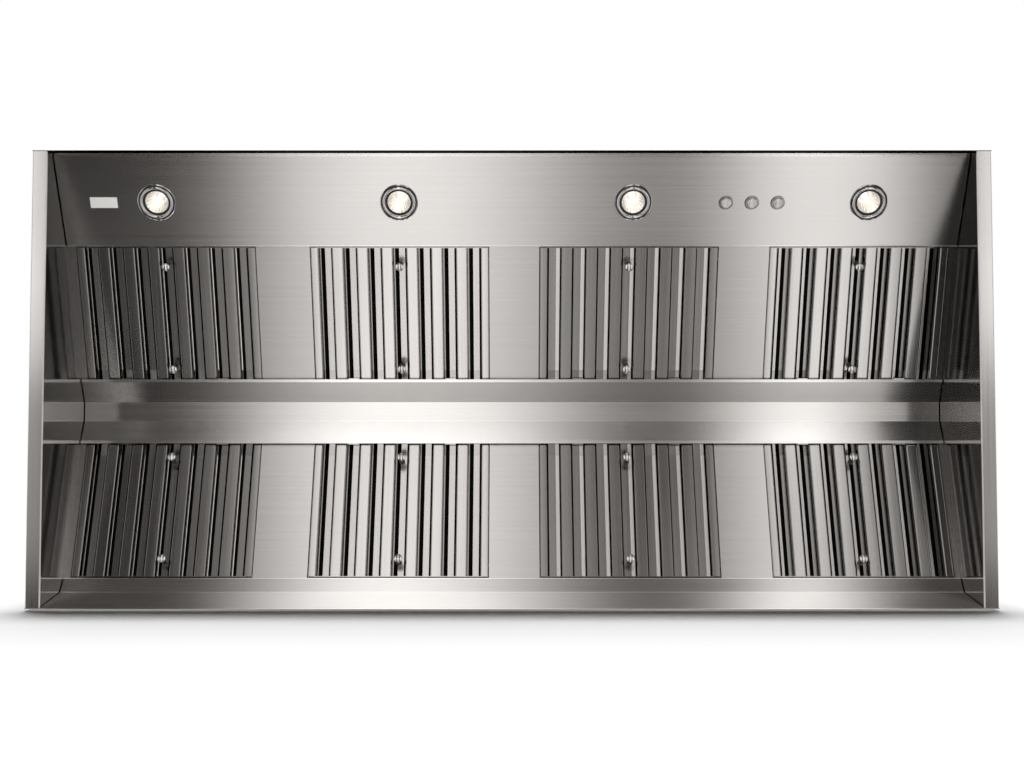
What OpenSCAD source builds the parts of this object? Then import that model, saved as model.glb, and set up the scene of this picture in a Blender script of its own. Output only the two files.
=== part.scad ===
// Range hood insert for a 60 inch cooktop, with two banks of baffle filters.
// Every piece is drawn as the hood hangs: x to the right, y from the front skin to the rear skin, z up from the mouth.
// The stand module then sets the whole hood on its rear skin, with the mouth towards -Y.

/* [Shell] */
// Overall width across the side skins
hood_w = 1524; // [1480:1:1600]
// Overall depth from the front skin to the rear skin
hood_d = 724; // [705:1:780]
// Height from the mouth to the top plate
hood_h = 457; // [450:1:560]
// Thickness of the shell's stainless sheet
sheet = 1.2; // [0.8:0.1:1.6]
// Width of the bottom flange under each side
side_flange = 24; // [18:1:34]
// Width of the flanges that carry the top plate
top_flange = 20; // [16:1:26]
// Height of the inner wall of each side
side_wall_h = 240; // [230:1:270]

/* [Light panel] */
// Height of the light panel's lower bend above the mouth
panel_z = 25; // [15:1:35]
// Depth that the light panel covers, from front to rear
panel_run = 137.8; // [130:0.1:150]
// Height that the light panel climbs over that depth
panel_rise = 78.5; // [60:0.5:84]
// Height of the flange that holds the light panel to the front skin
panel_flange = 25; // [15:1:40]
// Distance of the lights and buttons up the panel
panel_row = 81.3; // [70:0.1:90]

/* [Filters] */
// Width of one baffle filter
filter_w = 298; // [290:1:302]
// Thickness of one baffle filter
filter_t = 24; // [20:0.5:26]
// Thickness of the sheet that the filters are made of
filter_sheet = 1; // [0.6:0.1:1.2]
// Slope of both filter banks in degrees
bank_angle = 20; // [18:0.5:22]
// Width of the bright web of a front baffle
front_web = 18.5; // [15:0.5:22]
// Width of the flat strip along each side of a filter
edge_strip = 13; // [8:0.5:18]
// Width of a rear baffle
rear_web = 33; // [30:0.5:36]
// Distance that the front bank's filters reach behind their lip
front_tail = 9; // [6:0.5:10]
// Distance that the rear bank's filters reach behind their lip
rear_tail = 5; // [5:0.5:9]

/* [Knobs] */
// Radius of a filter knob
knob_r = 7; // [5:0.5:9]
// Radius of the stem of a knob
knob_stem_r = 3; // [2:0.25:4]
// Height of a knob's head
knob_head = 5; // [3:0.5:7]
// Distance that the knobs stand out of the filter
knob_out = 16; // [10:0.5:20]
// Distance of the two knobs from the ends of a filter
knob_inset = 31; // [27:1:45]
// Distance that the rear bank's knobs sit nearer the outer end
rear_knob_shift = 3; // [0:0.5:5]

/* [Centre channel] */
// Height of the channel's two lips above the mouth
lip_z = 195.5; // [190:0.5:198]
// Height of the channel's flat top above the lips
channel_rise = 21; // [16:0.5:24]
// Depth of the channel from lip to lip
channel_w = 104.6; // [90:0.1:120]
// Depth of each sloping face of the channel
channel_run = 36.5; // [30:0.5:40]
// Radius of the rolled bead along each lip
bead_r = 2.5; // [2:0.1:2.8]

/* [Rear trough] */
// Depth of the trough, from the rear skin to its lip
trough_depth = 38.2; // [34:0.1:44]
// Height of the trough's lip above the mouth
trough_lip_z = 114; // [108:0.5:118]
// Depth of the trough's fold, from the rear skin
trough_fold_depth = 15.8; // [12:0.1:20]
// Height of the trough's fold above the mouth
trough_fold_z = 97; // [85:0.5:100]

/* [Blank panels] */
// Distance from the left wall to the first filter
left_end_w = 11; // [8:0.5:14]
// Distance from the right wall to the last filter
right_end_w = 9; // [8:0.5:14]
// Shares of the room between the filters that the left and middle blanks take
blank_shares = [0.3485, 0.3239];
// Height of the flanges along each blank
blank_flange = 20; // [14:0.5:23]

/* [Lights] */
// Distance of each light to the right of the middle of its filter
light_shift = [-2, 3.5, 2.5, 2.5];
// Radius of a light's bezel
bezel_r = 31; // [29:0.5:34]
// Height of a light's bezel below the panel
bezel_h = 3.5; // [2:0.5:5]
// Radius of a light's glass
lens_r = 21.5; // [18:0.5:22]
// Radius of a light's can behind the panel
can_r = 30; // [28:0.5:32]
// Length of a light's can
can_len = 60; // [56:1:66]

/* [Buttons] */
// Distance of the middle button to the left of the last filter's middle
button_shift = 188; // [180:1:210]
// Distance from one button to the next
button_pitch = 42.3; // [30:0.1:48]
// Radius of a button's cap
button_r = 8.6; // [6:0.1:9]
// Radius of the ring round a button
button_ring_r = 11; // [10.5:0.1:13]
// Distance that a button travels
button_travel = 2.5; // [1:0.1:3]

/* [Blowers] */
// Distance of each blower from the side of the hood
blower_inset = 382; // [362:1:400]
// Place of the blower shafts behind the front skin
blower_y = 323; // [318:1:332]
// Width of a blower housing
scroll_w = 190; // [170:1:200]
// Height of a blower's outlet above its tongue
outlet_neck = 10.5; // [8:0.5:25]
// Width of a blower wheel
wheel_w = 150; // [130:1:156]
// Radius of the motor inside a blower wheel
motor_r = 42; // [34:1:48]
// Radius of a motor shaft
shaft_r = 5; // [4:0.5:7]

/* [Ducts] */
// Outer radius of a duct collar
collar_r = 127; // [120:0.5:130]
// Height of a duct collar above the top plate
collar_h = 60; // [50:1:80]
// Radius of the rod that carries the damper flaps
rod_r = 3; // [2:0.25:4]

/* [Electrical box] */
// Width, depth and height of the junction box
box_size = [110, 70, 48];
// Distance of the junction box from the side of the hood
box_inset = 162; // [130:1:190]
// Radius of the cable knock-out in the top plate
knockout_r = 11; // [8:0.5:14]

/* [Hidden] */

round_fn = 64;
steel = "silver";
dark_steel = "slategray";
overrun = 5;
// Gap left where a piece lies on its seat
seat_gap = 0.3;
// Radial clearance of a part that turns on a pin or slides in a bore
running_gap = 0.05;

// Shell
total_h = hood_h + collar_h;
inner_w = hood_w - 2 * side_flange;
plate_z = hood_h - sheet;

// Filter banks, seen from the lip that a filter hangs on: s runs down the slope and n square to it
filter_n = bead_r + 3.5 * filter_sheet;
filter_top_n = filter_n + filter_t;
tails = [front_tail, rear_tail];
swing_gaps = [3, 1.2];
filter_side_gap = 1;
panel_angle = atan2(panel_rise, panel_run);
panel_edge_y = sheet + panel_run;
panel_edge_z = panel_z + panel_rise;
trough_lip_y = hood_d - sheet - trough_depth;
drops = [lip_z - panel_edge_z, lip_z - trough_lip_z];
// Distance from a lip to the edge that its bank's filters swing past, and its share of the hood's depth
function bank_arc(b, len) = norm([len - tails[b], filter_top_n]) + swing_gaps[b];
function bank_run(b, len) = sqrt(pow(bank_arc(b, len), 2) - pow(drops[b], 2));
// Length of a filter at which the two banks and the channel fill the depth, found step by step
function fitted(room, len, steps) = steps == 0 ? len
    : fitted(room, len + (room - bank_run(0, len) - bank_run(1, len)) / 2, steps - 1);
banks_room = trough_lip_y - panel_edge_y - channel_w;
filter_len = fitted(banks_room, banks_room / 2, 12);
reaches = [filter_len - front_tail, filter_len - rear_tail];
arcs = [bank_arc(0, filter_len), bank_arc(1, filter_len)];
front_lip_y = panel_edge_y + bank_run(0, filter_len);
rear_lip_y = trough_lip_y - bank_run(1, filter_len);
lip_y = [front_lip_y, rear_lip_y];

// Filters across the hood
blank_room = inner_w - left_end_w - right_end_w - 4 * filter_w;
first_x = -inner_w / 2 + left_end_w + filter_w / 2;
second_x = first_x + filter_w + blank_shares[0] * blank_room;
third_x = second_x + filter_w + blank_shares[1] * blank_room;
fourth_x = inner_w / 2 - right_end_w - filter_w / 2;
filter_x = [first_x, second_x, third_x, fourth_x];
gap_count = 7;
baffle_pitch = (filter_w - 2 * edge_strip + front_web) / gap_count;
front_leg = 9;
rear_leg = 9;
rear_web_depth = 16;
rail_flange = 10;
hook_w = 18;
hook_x = 2 * baffle_pitch;
hook_wall = 2;
knob_chamfer = 1.5;

// Blanks and catches
blank_edges = [
    [-inner_w / 2, first_x - filter_w / 2 - filter_side_gap],
    [first_x + filter_w / 2 + filter_side_gap, second_x - filter_w / 2 - filter_side_gap],
    [second_x + filter_w / 2 + filter_side_gap, third_x - filter_w / 2 - filter_side_gap],
    [third_x + filter_w / 2 + filter_side_gap, fourth_x - filter_w / 2 - filter_side_gap],
    [fourth_x + filter_w / 2 + filter_side_gap, inner_w / 2]];
blank_lap = 4;
blank_foot_s = 11;
catch_r = 2.5;
catch_body_r = 3.5;
catch_body_len = 4;
catch_inset = 22;

// Lights
light_x = [for (i = [0 : 3]) filter_x[i] + light_shift[i]];
bezel_spigot = 3;
light_hole_r = lens_r + bezel_spigot;
bezel_wall = 1;
glass_t = 2.5;
glass_q = 2;
can_wall = 1;
bulb_depth = 32;
bulb_neck_r = 9;
bulb_base_len = 12;
bulb_wall = 1.2;
capsule_r = 4;
socket_r = 13;

// Buttons
button_x = fourth_x - button_shift;
ring_h = 2;
button_proud = ring_h + button_travel;
button_skirt = 20;
barrel_wall = 1;
barrel_len = 26;
switch_base_h = 3;
nut_r = 13;
nut_h = 3;

// Name plate
name_w = 44;
name_d = 18;
name_t = 1;
name_inset = 72;
name_x = name_inset - inner_w / 2;

// Blowers: the wheel is as large as the height between the filters and the top plate lets it be
blower_x = hood_w / 2 - blower_inset;
tongue_angle = 70;
cutoff_gap = 10;
scroll_growth = 45;
scroll_steps = 29;
blower_clearance = 4.5;
blower_floor = lip_z + filter_top_n + blower_clearance;
grown_share = (270 - tongue_angle) / (360 - tongue_angle);
wheel_r = (plate_z - blower_floor - outlet_neck - grown_share * scroll_growth) / (1 + sin(tongue_angle))
    - cutoff_gap;
function scroll_r(angle) = wheel_r + cutoff_gap
    + scroll_growth * (angle - tongue_angle) / (360 - tongue_angle);
blower_z = blower_floor + scroll_r(270);
outlet_low_y = scroll_r(tongue_angle) * cos(tongue_angle);
outlet_high_y = scroll_r(360);
collar_y = blower_y + (outlet_low_y + outlet_high_y) / 2;
scroll_flange = 12;
blade_depth = 15;
inlet_r = wheel_r - blade_depth;
blade_t = 1.2;
blade_count = 24;
blade_tilt = 25;
wheel_disc_t = 2;
wheel_ring_t = 3;
hub_r = 14;
hub_len = 24;
motor_gap = 4;
motor_out = 6;
motor_bearing = 18;
arm_count = 3;
arm_w = 16;
arm_t = 3;
arm_overlap = 12;

// Ducts
collar_wall = 1;
collar_flange = 16;
rod_z = 28;
flap_t = 1;
flap_gap = 1.2;
knuckle_wall = 2;
knuckle_gap = 0.6;
knuckle_split = 1.5;

// Electrical box and wiring
box_wall = 1.2;
box_x = hood_w / 2 - box_inset;
box_y = top_flange + 2 * sheet;
box_cover_lip = 6;
loom_r = 4;
drop_r = 3;
loom_y = sheet + seat_gap + loom_r;
lead_y = box_y + box_size[1] / 2;
lead_z = plate_z - seat_gap - loom_r;
lead_x_offset = scroll_w / 2 + 2 * scroll_flange;
panel_row_y = sheet + panel_row * cos(panel_angle);
drop_len = (panel_row_y - loom_y) / sin(panel_angle);
loom_z = panel_z + panel_row * sin(panel_angle) + drop_len * cos(panel_angle);

// Screws and hanging holes
screw_r = 2;
screw_head_r = 4;
screw_head_h = 2.2;
screw_len = 8;
screw_hole_r = 2.1;
side_screw_share = [0.1, 0.3, 0.5, 0.7, 0.9];
front_screw_share = [-0.45, -0.3, -0.15, 0, 0.15, 0.3, 0.45];
hang_r = 5;
hang_inset_x = 62;
hang_inset_y = 62;

// Outline of a bent sheet: the path is one face, and the other face lies to its left
function unit_left(a, b) = let(d = b - a) [-d[1], d[0]] / norm(d);
function shifted(p, t) = [for (i = [0 : len(p) - 1])
    let (n1 = unit_left(p[max(i - 1, 0)], p[max(i, 1)]),
         n2 = unit_left(p[min(i, len(p) - 2)], p[min(i + 1, len(p) - 1)]))
    p[i] + (n1 + n2) * t / (1 + n1 * n2)];
function bent(p, t) = let (q = shifted(p, t)) concat(p, [for (i = [len(q) - 1 : -1 : 0]) q[i]]);

// Sets the hanging hood on its rear skin, with the origin under the middle of the whole hood
module stand() {
    translate([0, -total_h / 2, hood_d]) rotate([-90, 0, 0]) children();
}

// Turns an outline of (y, z) points into a bar along x, centred on x = 0
module along_x(length) {
    rotate([90, 0, 90]) linear_extrude(height = length, center = true) children();
}

// Turns an outline of (x, z) points into a bar along y, from y = 0
module along_y(length) {
    translate([0, length, 0]) rotate([90, 0, 0]) linear_extrude(height = length) children();
}

// Frame of a filter bank: x across, y down the slope from the lip, z square to the slope
module on_bank(b) {
    translate([0, lip_y[b], lip_z]) rotate([-bank_angle, 0, b == 0 ? 180 : 0]) children();
}

// Frame of the light panel: x across, y up the panel from its lower bend, z into the hood
module on_panel() {
    translate([0, sheet, panel_z]) rotate([panel_angle, 0, 0]) children();
}

module disc(r, h) {
    cylinder(r = r, h = h, $fn = round_fn);
}

module tube(outer, inner, h) {
    difference() {
        disc(outer, h);
        translate([0, 0, -overrun]) disc(inner, h + 2 * overrun);
    }
}

// A round bar between two points that differ along one axis or lie in one plane
module bar(a, b, r) {
    d = b - a;
    translate(a) rotate([0, acos(d[2] / norm(d)), atan2(d[1], d[0])]) disc(r, norm(d));
}

// Screws of the top plate
screw_inset = top_flange / 2 + sheet;
top_screws = concat(
    [for (k = side_screw_share, s = [-1, 1]) [s * (hood_w / 2 - screw_inset), k * hood_d]],
    [for (k = front_screw_share, y = [screw_inset, hood_d - screw_inset]) [k * inner_w, y]]);

module screw_holes() {
    for (p = top_screws) translate([p[0], p[1], plate_z - sheet - overrun]) disc(screw_hole_r, 4 * overrun);
}

module front_skin() stand() color(steel) difference() {
    along_x(hood_w) polygon([[0, 0], [sheet, 0], [sheet, plate_z - sheet],
        [top_flange + sheet, plate_z - sheet], [top_flange + sheet, plate_z], [sheet, plate_z],
        [sheet, hood_h], [0, hood_h]]);
    screw_holes();
    side_notches();
}

module rear_skin() stand() color(steel) difference() {
    translate([0, hood_d, 0]) mirror([0, 1, 0])
        along_x(hood_w) polygon([[0, 0], [sheet, 0], [sheet, plate_z - sheet],
            [top_flange + sheet, plate_z - sheet], [top_flange + sheet, plate_z], [sheet, plate_z],
            [sheet, hood_h], [0, hood_h]]);
    screw_holes();
    side_notches();
}

// Room at the ends of the front and rear top flanges for the flanges of the sides
module side_notches() {
    for (s = [-1, 1]) translate([s * hood_w / 2, hood_d / 2, plate_z - sheet / 2])
        cube([2 * (top_flange + 2 * sheet), hood_d - 2 * sheet, 2 * sheet], center = true);
}

module side_shell() {
    x0 = -hood_w / 2;
    x1 = -inner_w / 2;
    translate([0, sheet, 0]) along_y(hood_d - 2 * sheet) polygon([
        [x0, 0], [x1, 0], [x1, side_wall_h], [x1 - sheet, side_wall_h], [x1 - sheet, sheet],
        [x0 + sheet, sheet], [x0 + sheet, plate_z - sheet], [x0 + top_flange, plate_z - sheet],
        [x0 + top_flange, plate_z], [x0 + sheet, plate_z], [x0 + sheet, hood_h], [x0, hood_h]]);
}

module left_side() stand() color(steel) difference() {
    side_shell();
    screw_holes();
}

module right_side() stand() color(steel) difference() {
    mirror([1, 0, 0]) side_shell();
    screw_holes();
}

module top_plate() stand() color(steel) difference() {
    translate([-hood_w / 2 + sheet, sheet, plate_z]) cube([hood_w - 2 * sheet, hood_d - 2 * sheet, sheet]);
    screw_holes();
    for (x = [-blower_x, blower_x])
        translate([x - scroll_w / 2 + sheet, blower_y + outlet_low_y + sheet, plate_z - overrun])
            cube([scroll_w - 2 * sheet, outlet_high_y - outlet_low_y - 2 * sheet, 2 * overrun]);
    for (x = [-1, 1], y = [hang_inset_y, hood_d - hang_inset_y])
        translate([x * (hood_w / 2 - hang_inset_x), y, plate_z - overrun]) disc(hang_r, 2 * overrun);
    translate([box_x, lead_y, plate_z - overrun]) disc(knockout_r, 2 * overrun);
}

// Height of a lip below the slope of its own bank, and the edge that stands up from it to the blanks
function lip_n(b) = arcs[b] * sin(bank_angle - asin(drops[b] / arcs[b]));
function edge_h(b) = filter_n - seat_gap - lip_n(b);

module light_panel() stand() color(steel) difference() {
    along_x(inner_w) polygon(bent([
        [sheet, panel_z + panel_flange], [sheet, panel_z], [panel_edge_y, panel_edge_z],
        [panel_edge_y - edge_h(0) * sin(bank_angle), panel_edge_z + edge_h(0) * cos(bank_angle)]], sheet));
    on_panel() {
        for (x = light_x) translate([x, panel_row, -overrun]) disc(light_hole_r, 3 * overrun);
        for (x = button_places) translate([x, panel_row, -overrun])
            disc(button_r + barrel_wall + 2 * running_gap, 3 * overrun);
    }
}

module centre_channel() stand() color(steel) {
    along_x(inner_w) polygon(bent([
        [front_lip_y, lip_z], [front_lip_y + channel_run, lip_z + channel_rise],
        [rear_lip_y - channel_run, lip_z + channel_rise], [rear_lip_y, lip_z]], sheet));
    for (y = lip_y) translate([-inner_w / 2, y, lip_z]) rotate([0, 90, 0]) disc(bead_r, inner_w);
}

module rear_trough() stand() color(steel)
    along_x(inner_w) polygon(bent([
        [trough_lip_y + edge_h(1) * sin(bank_angle), trough_lip_z + edge_h(1) * cos(bank_angle)],
        [trough_lip_y, trough_lip_z],
        [hood_d - sheet - trough_fold_depth, trough_fold_z],
        [hood_d - sheet - 1.1 * sheet, 0]], sheet));

// One blank: a flat web between two filters, with a flange up each side and a foot on the centre channel
module blank(b, x0, x1, left_filter, right_filter) {
    slope = atan2(channel_rise, channel_run) - bank_angle;
    foot_s = blank_foot_s + sheet;
    foot_n = foot_s * tan(slope) + sheet / cos(slope) + seat_gap;
    outer = arcs[b] + blank_lap;
    w = x1 - x0;
    side = b == 0 ? -1 : 1;
    mid = (x0 + x1) / 2;
    translate([mid, 0, 0]) on_bank(b) difference() {
        union() {
            translate([-w / 2, -foot_s, filter_n]) cube([w, outer + foot_s, sheet]);
            translate([-w / 2, -foot_s, foot_n]) cube([w, sheet, filter_n - foot_n + sheet]);
            for (x = [-w / 2, w / 2 - sheet])
                translate([x, 0, filter_n]) cube([sheet, reaches[b], blank_flange]);
        }
        for (f = catch_sides(left_filter, right_filter)) catch_place(b, f * side, w)
            translate([0, 0, -overrun]) disc(catch_r + running_gap, 2 * overrun);
    }
}

function catch_sides(left_filter, right_filter) = concat(left_filter ? [-1] : [], right_filter ? [1] : []);

// Frame of one catch on a blank's flange: z points out of the blank towards the filter
module catch_place(b, side, w) {
    translate([side * w / 2, reaches[b] - catch_inset, filter_n + blank_flange / 2])
        rotate([0, side * 90, 0]) children();
}

module bank_blanks(b) {
    for (i = [0 : 4]) blank(b, blank_edges[i][0], blank_edges[i][1], i > 0, i < 4);
}

module front_blanks() stand() color(steel) bank_blanks(0);
module rear_blanks() stand() color(steel) bank_blanks(1);

module filter_catches() stand() color(dark_steel)
    for (b = [0, 1], i = [0 : 4]) {
        w = blank_edges[i][1] - blank_edges[i][0];
        side = b == 0 ? -1 : 1;
        translate([(blank_edges[i][0] + blank_edges[i][1]) / 2, 0, 0]) on_bank(b)
            for (f = catch_sides(i > 0, i < 4)) catch_place(b, f * side, w) {
                translate([0, 0, -sheet]) disc(catch_r, sheet + filter_side_gap - seat_gap);
                translate([0, 0, -sheet - catch_body_len]) disc(catch_body_r, catch_body_len);
            }
    }

// Filters
module filter_frame(b) stand_filter(b) {
    w = filter_w / 2;
    t = filter_sheet;
    n0 = filter_n;
    n1 = filter_top_n;
    s0 = -tails[b];
    difference() {
        union() {
            for (m = [0, 1]) mirror([m, 0, 0]) translate([0, s0, 0]) along_y(filter_len) polygon([
                [-w, n0], [-w + edge_strip, n0], [-w + edge_strip, n0 + front_leg],
                [-w + edge_strip - t, n0 + front_leg], [-w + edge_strip - t, n0 + t], [-w + t, n0 + t],
                [-w + t, n1 - t], [-w + rail_flange, n1 - t], [-w + rail_flange, n1], [-w, n1]]);
            for (end = [0, 1]) {
                s = end == 0 ? s0 : s0 + filter_len;
                into = end == 0 ? 1 : -1;
                translate([-w, min(s, s + into * t), n0]) cube([filter_w, t, filter_t]);
                translate([-w, min(s, s + into * rail_flange), n1 - t]) cube([filter_w, rail_flange, t]);
            }
            for (x = [-hook_x, hook_x]) translate([x - hook_w / 2, 0, 0]) hook(b);
        }
        rotate([0, 90, 0]) translate([0, 0, -w]) disc(bead_r + running_gap, filter_w);
    }
}

// A saddle on a tongue of the end rail, in a gap between two baffles, that sits over the lip's rolled bead
module hook(b) {
    r = bead_r + running_gap + hook_wall;
    top = filter_n + filter_sheet;
    cube([hook_w, r, top]);
    translate([0, -r, bead_r]) cube([hook_w, r, top - bead_r]);
    translate([0, -tails[b], filter_n]) cube([hook_w, tails[b], filter_sheet]);
}

module stand_filter(b) {
    stand() color(steel) on_bank(b) children();
}

module front_baffle() {
    h = front_web / 2;
    polygon(bent([[-h, filter_n + front_leg], [-h, filter_n], [h, filter_n], [h, filter_n + front_leg]],
        filter_sheet));
}

module rear_baffle() {
    h = rear_web / 2;
    top = filter_n + rear_web_depth;
    polygon(bent([[h, top - rear_leg], [h, top], [-h, top], [-h, top - rear_leg]], filter_sheet));
}

module filter_baffles(b) stand_filter(b) {
    s0 = -tails[b] + filter_sheet;
    length = filter_len - 2 * filter_sheet;
    half = (gap_count - 1) / 2;
    for (k = [-half : half - 1]) translate([(k + 0.5) * baffle_pitch, s0, 0]) along_y(length) front_baffle();
    for (k = [-half : half]) translate([k * baffle_pitch, s0, 0]) along_y(length) rear_baffle();
}

module knob() {
    top = filter_n + rear_web_depth - filter_sheet;
    low = filter_n - knob_out;
    rotate_extrude($fn = round_fn) polygon([[0, low], [knob_r - knob_chamfer, low],
        [knob_r, low + knob_chamfer], [knob_r, low + knob_head], [knob_stem_r, low + knob_head + knob_chamfer],
        [knob_stem_r, top], [0, top]]);
}

module filter_knobs(b) stand_filter(b) {
    shift = b == 0 ? 0 : rear_knob_shift;
    for (s = [knob_inset, filter_len - knob_inset]) translate([0, s - tails[b] + shift, 0]) knob();
}

module name_plate() stand() color(steel) on_panel()
    translate([name_x - name_w / 2, panel_row - name_d / 2, -name_t]) cube([name_w, name_d, name_t]);

// Lights
module each_light() {
    on_panel() for (x = light_x) translate([x, panel_row, 0]) children();
}

module lamp_bezels() stand() color("gainsboro") each_light() {
    top = glass_q + glass_t;
    rotate_extrude($fn = round_fn) polygon([
        [lens_r - bezel_wall, glass_q], [lens_r - bezel_wall, 0], [lens_r + bezel_wall, -bezel_h / 2],
        [lens_r + 3 * bezel_wall, -bezel_h / 2], [lens_r + 4 * bezel_wall, -bezel_h],
        [bezel_r - bezel_wall, -bezel_h], [bezel_r, -bezel_h / 2], [bezel_r, 0],
        [light_hole_r - running_gap, 0], [light_hole_r - running_gap, top],
        [lens_r + running_gap, top], [lens_r + running_gap, glass_q]]);
}

module lamp_lenses() stand() color("ivory") each_light()
    translate([0, 0, glass_q]) disc(lens_r, glass_t);

module lamp_bulbs() stand() color("white") each_light() {
    low = glass_q + glass_t + seat_gap;
    rotate_extrude($fn = round_fn) polygon([
        [lens_r - bulb_wall, low], [lens_r, low], [lens_r * 0.86, low + bulb_depth * 0.45],
        [bulb_neck_r + bulb_wall, low + bulb_depth], [bulb_neck_r, low + bulb_depth + bulb_base_len],
        [0, low + bulb_depth + bulb_base_len], [0, low + bulb_depth],
        [bulb_neck_r - bulb_wall, low + bulb_depth - bulb_wall],
        [lens_r * 0.86 - bulb_wall, low + bulb_depth * 0.45]]);
    translate([0, 0, low + bulb_depth / 2]) disc(capsule_r, bulb_depth / 2);
}

module lamp_cans() stand() color(dark_steel) each_light() {
    socket_low = glass_q + glass_t + seat_gap + bulb_depth + bulb_base_len;
    difference() {
        translate([0, 0, sheet]) disc(can_r, can_len);
        translate([0, 0, sheet - overrun]) disc(can_r - can_wall, can_len + overrun - can_wall);
    }
    translate([0, 0, socket_low]) disc(socket_r, sheet + can_len - can_wall - socket_low);
}

// Buttons
button_places = [button_x - button_pitch, button_x, button_x + button_pitch];

module switch_bodies() stand() color(dark_steel) on_panel()
    for (x = button_places) translate([x, panel_row, 0]) {
        bore = button_r + running_gap;
        difference() {
            union() {
                translate([0, 0, -ring_h]) disc(button_ring_r, ring_h);
                translate([0, 0, -ring_h]) disc(bore + barrel_wall, ring_h + barrel_len);
            }
            translate([0, 0, -ring_h - overrun]) disc(bore, ring_h + overrun + barrel_len - switch_base_h);
        }
        difference() {
            translate([0, 0, sheet]) cylinder(r = nut_r, h = nut_h, $fn = 6);
            translate([0, 0, -overrun]) disc(bore + barrel_wall + running_gap, nut_h + 3 * overrun);
        }
    }

module button(i) stand() color(steel) on_panel() translate([button_places[i], panel_row, 0])
    rotate_extrude($fn = round_fn) polygon([[0, -button_proud], [button_r - knob_chamfer, -button_proud],
        [button_r, knob_chamfer - button_proud], [button_r, button_skirt], [0, button_skirt]]);

// Electrical box
module junction_box() stand() color(dark_steel) translate([box_x, box_y, plate_z - box_size[2]]) difference() {
    w = box_size[0];
    translate([-w / 2, 0, 0]) cube(box_size);
    translate([box_wall - w / 2, box_wall, -overrun])
        cube([w - 2 * box_wall, box_size[1] - 2 * box_wall, box_size[2] + overrun - box_wall]);
    translate([0, lead_y - box_y, 0]) disc(knockout_r, 2 * box_size[2]);
}

module junction_cover() stand() color(steel) translate([box_x, box_y, plate_z - box_size[2]]) difference() {
    w = box_size[0] - 2 * box_wall - 2 * seat_gap;
    d = box_size[1] - 2 * box_wall - 2 * seat_gap;
    union() {
        translate([-box_size[0] / 2, 0, -box_wall]) cube([box_size[0], box_size[1], box_wall]);
        translate([-w / 2, box_wall + seat_gap, 0]) cube([w, d, box_cover_lip]);
    }
    translate([box_wall - w / 2, 2 * box_wall + seat_gap, 0])
        cube([w - 2 * box_wall, d - 2 * box_wall, box_cover_lip + overrun]);
}

// The loom runs along the front skin, drops to each light and button, and climbs to the junction box
module wiring_harness() stand() color("dimgray") {
    riser_top = plate_z - box_size[2] / 2;
    union() {
        bar([light_x[0], loom_y, loom_z], [box_x, loom_y, loom_z], loom_r);
        bar([box_x, loom_y, loom_z], [box_x, loom_y, riser_top], loom_r);
        bar([box_x, loom_y, riser_top], [box_x, box_y, riser_top], loom_r);
        for (p = [[light_x[0], loom_z], [box_x, loom_z], [box_x, riser_top]])
            translate([p[0], loom_y, p[1]]) sphere(r = loom_r, $fn = round_fn);
        on_panel() {
            for (x = light_x) translate([x, panel_row, sheet + can_len])
                disc(drop_r, drop_len - sheet - can_len);
            for (x = button_places) translate([x, panel_row, barrel_len])
                disc(drop_r, drop_len - barrel_len);
        }
    }
    union() {
        lead_end = box_x - box_size[0] / 2;
        far = -blower_x - lead_x_offset;
        bar([far, lead_y, lead_z], [lead_end, lead_y, lead_z], loom_r);
        for (x = [-blower_x, blower_x]) {
            lead_x = x - lead_x_offset;
            bar([lead_x, lead_y, lead_z], [lead_x, blower_y, lead_z], drop_r);
            bar([lead_x, blower_y, lead_z], [lead_x, blower_y, blower_z], drop_r);
            bar([lead_x, blower_y, blower_z], [x - scroll_w / 2 - motor_out, blower_y, blower_z], drop_r);
            for (p = [[lead_x, blower_y, lead_z], [lead_x, blower_y, blower_z]])
                translate(p) sphere(r = drop_r, $fn = round_fn);
        }
    }
}

module fasteners() stand() color("gainsboro")
    for (p = top_screws) translate([p[0], p[1], hood_h - screw_len]) {
        disc(screw_r, screw_len);
        translate([0, 0, screw_len]) disc(screw_head_r, screw_head_h);
    }

// Blowers
function scroll_points(inset) = concat(
    [for (i = [0 : scroll_steps])
        let (a = tongue_angle + (360 - tongue_angle) * i / scroll_steps)
        (scroll_r(a) - inset) * [cos(a), sin(a)]]);

// Outline of the housing in (y, z) about the shaft: the spiral, then straight up to the outlet
module scroll_outline(inset, top) {
    points = scroll_points(inset);
    polygon(concat(points, [[outlet_high_y - inset, top], [outlet_low_y + inset, top]]));
}

module scroll(x) stand() color(steel) translate([x, blower_y, blower_z]) {
    top = plate_z - blower_z;
    difference() {
        union() {
            along_x(scroll_w) scroll_outline(0, top);
            for (y = [outlet_low_y, outlet_high_y - scroll_flange])
                translate([-scroll_w / 2 - scroll_flange, y, top - sheet])
                    cube([scroll_w + 2 * scroll_flange, scroll_flange, sheet]);
        }
        along_x(scroll_w - 2 * sheet) scroll_outline(sheet, top + overrun);
        rotate([0, 90, 0]) translate([0, 0, -scroll_w]) disc(inlet_r, 2 * scroll_w);
    }
}

module motor(x) stand() color(dark_steel) translate([x, blower_y, blower_z]) rotate([0, 90, 0]) {
    outer = -scroll_w / 2 - motor_out;
    inner = -wheel_disc_t / 2 - hub_len / 2 - motor_gap;
    difference() {
        translate([0, 0, outer]) disc(motor_r, inner - outer);
        translate([0, 0, inner - motor_bearing]) disc(shaft_r + running_gap, motor_bearing + overrun);
    }
    difference() {
        for (k = [0 : arm_count - 1]) rotate([0, 0, k * 360 / arm_count])
            translate([0, -arm_w / 2, -scroll_w / 2 - arm_t - running_gap])
                cube([inlet_r + arm_overlap, arm_w, arm_t]);
        translate([0, 0, -scroll_w]) disc(motor_r, 2 * scroll_w);
    }
}

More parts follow.
